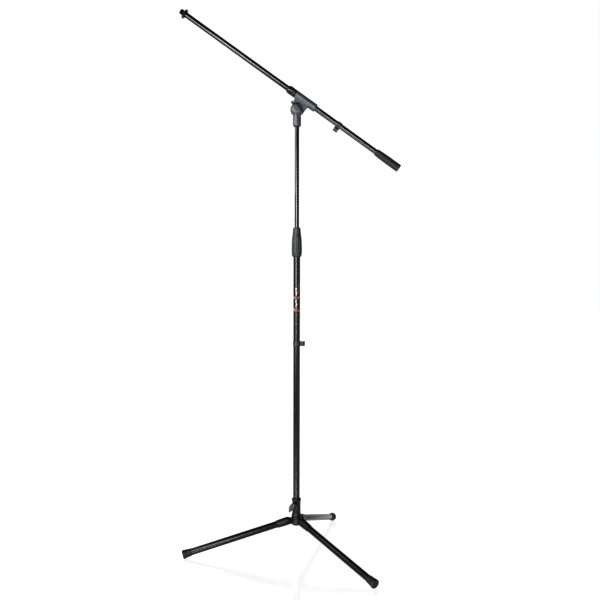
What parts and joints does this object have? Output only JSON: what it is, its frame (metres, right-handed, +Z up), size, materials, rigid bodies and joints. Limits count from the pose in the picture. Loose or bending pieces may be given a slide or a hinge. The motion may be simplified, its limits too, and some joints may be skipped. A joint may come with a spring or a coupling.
{
  "type": "boom microphone stand",
  "caption": "Folding tripod stand with a telescopic pole and a long boom in a tilting T-clamp, for holding a microphone over a source.",
  "frame": {"origin": "middle of the bounding box's bottom face, on the floor that the three feet stand on", "axes": "+Z up along the pole; the boom lies in a plane parallel to XZ with its low end towards +X and its microphone end high towards -X; the pole's axis stands at X 22.2 mm, Y -25 mm"},
  "size_m": [0.7015, 0.6219, 1.7208],
  "materials": {
    "black_paint": "gloss black powder coat",
    "grey_plastic": "dark grey glass-filled nylon, fine moulded texture",
    "dark_plastic": "darker grey nylon, satin",
    "black_plastic": "black nylon, satin",
    "black_rubber": "matt black rubber",
    "nylon": "off-white nylon",
    "steel": "zinc plated steel",
    "brass": "plain turned brass"
  },
  "bodies": {
    "base": {"hub_housing": "black_plastic", "hub_yoke": "black_plastic", "leg_pin_1": "black_paint", "leg_pin_2": "black_paint", "leg_pin_3": "black_paint"},
    "wing_screw": {"wing_screw_lever": "dark_plastic", "wing_screw_spindle": "steel"},
    "leg_1": {"leg_socket_1": "black_plastic", "leg_tube_1": "black_paint", "leg_foot_1": "black_rubber"},
    "leg_2": {"leg_socket_2": "black_plastic", "leg_tube_2": "black_paint", "leg_foot_2": "black_rubber"},
    "leg_3": {"leg_socket_3": "black_plastic", "leg_tube_3": "black_paint", "leg_foot_3": "black_rubber"},
    "lower_pole": {"lower_tube": "black_paint", "leg_lock_plate": "black_plastic", "clutch_bush": "nylon", "clutch_collet": "nylon"},
    "pole_clip": {"pole_cable_clip": "dark_plastic"},
    "clutch": {"clutch_grip": "dark_plastic", "clutch_nut": "brass"},
    "pole_slider": {"tube_end_bush": "nylon"},
    "upper_pole": {"upper_tube": "black_paint", "pivot_socket": "grey_plastic", "tilt_thread_insert": "brass"},
    "tilt_handle": {"tilt_spindle": "steel", "tilt_lever": "dark_plastic"},
    "boom_clamp": {"boom_clamp_body": "grey_plastic", "pivot_washer": "nylon"},
    "boom_nut": {"boom_lock_nut": "dark_plastic"},
    "boom_collet_ring": {"boom_collet": "nylon"},
    "boom": {"boom_tube": "black_paint", "tip_stud": "black_paint", "tail_grip": "black_rubber", "tail_weight": "steel"},
    "tip_ring": {"tip_lock_ring": "black_paint"},
    "boom_clip": {"boom_cable_clip": "dark_plastic"}
  },
  "joints": [
    {"name": "wing_screw_turn", "type": "hinge", "parent": "base", "child": "wing_screw", "pos_m": [0.0222, -0.025, 0.157], "axis": [-0.3665, -0.9304, 0], "range_deg": [0, 180]},
    {"name": "leg_fold_1", "type": "hinge", "parent": "base", "child": "leg_1", "pos_m": [-0.00549, -0.02914, 0.1015], "axis": [-0.1478, 0.989, 0], "range_deg": [0, 104]},
    {"name": "leg_fold_2", "type": "hinge", "parent": "base", "child": "leg_2", "pos_m": [0.03963, -0.04691, 0.1015], "axis": [-0.7826, -0.6225, 0], "range_deg": [0, 104]},
    {"name": "leg_fold_3", "type": "hinge", "parent": "base", "child": "leg_3", "pos_m": [0.03246, 0.00105, 0.1015], "axis": [0.9304, -0.3665, 0], "range_deg": [0, 104]},
    {"name": "pole_release", "type": "slide", "parent": "base", "child": "lower_pole", "axis": [0, 0, 1], "range_m": [-0.02, 0]},
    {"name": "pole_clip_slide", "type": "slide", "parent": "lower_pole", "child": "pole_clip", "axis": [0, 0, 1], "range_m": [-0.15, 0.2]},
    {"name": "clutch_turn", "type": "hinge", "parent": "lower_pole", "child": "clutch", "pos_m": [0.0222, -0.025, 0.98], "axis": [0, 0, 1], "range_deg": [0, 120]},
    {"name": "pole_extend", "type": "slide", "parent": "lower_pole", "child": "pole_slider", "axis": [0, 0, 1], "range_m": [-0.31, 0.3]},
    {"name": "pole_swivel", "type": "hinge", "parent": "pole_slider", "child": "upper_pole", "pos_m": [0.0222, -0.025, 1.2], "axis": [0, 0, 1], "continuous": true},
    {"name": "tilt_handle_turn", "type": "hinge", "parent": "upper_pole", "child": "tilt_handle", "pos_m": [0.0222, -0.025, 1.404], "axis": [0, 1, 0], "range_deg": [0, 180]},
    {"name": "boom_tilt", "type": "hinge", "parent": "upper_pole", "child": "boom_clamp", "pos_m": [0.0222, -0.025, 1.404], "axis": [0, 1, 0], "range_deg": [-95, 44]},
    {"name": "boom_nut_turn", "type": "hinge", "parent": "boom_clamp", "child": "boom_nut", "pos_m": [0.04381, -0.025, 1.43403], "axis": [-0.8117, 0, 0.5841], "range_deg": [0, 150]},
    {"name": "boom_roll", "type": "hinge", "parent": "boom_clamp", "child": "boom_collet_ring", "pos_m": [0.04381, -0.025, 1.43403], "axis": [0.8117, 0, -0.5841], "continuous": true},
    {"name": "boom_slide", "type": "slide", "parent": "boom_collet_ring", "child": "boom", "axis": [0.8117, 0, -0.5841], "range_m": [-0.05, 0.38]},
    {"name": "tip_ring_turn", "type": "hinge", "parent": "boom", "child": "tip_ring", "pos_m": [-0.333, -0.025, 1.7052], "axis": [-0.8117, 0, 0.5841], "continuous": true},
    {"name": "boom_clip_slide", "type": "slide", "parent": "boom", "child": "boom_clip", "axis": [0.8117, 0, -0.5841], "range_m": [-0.03, 0.13]}
  ]
}
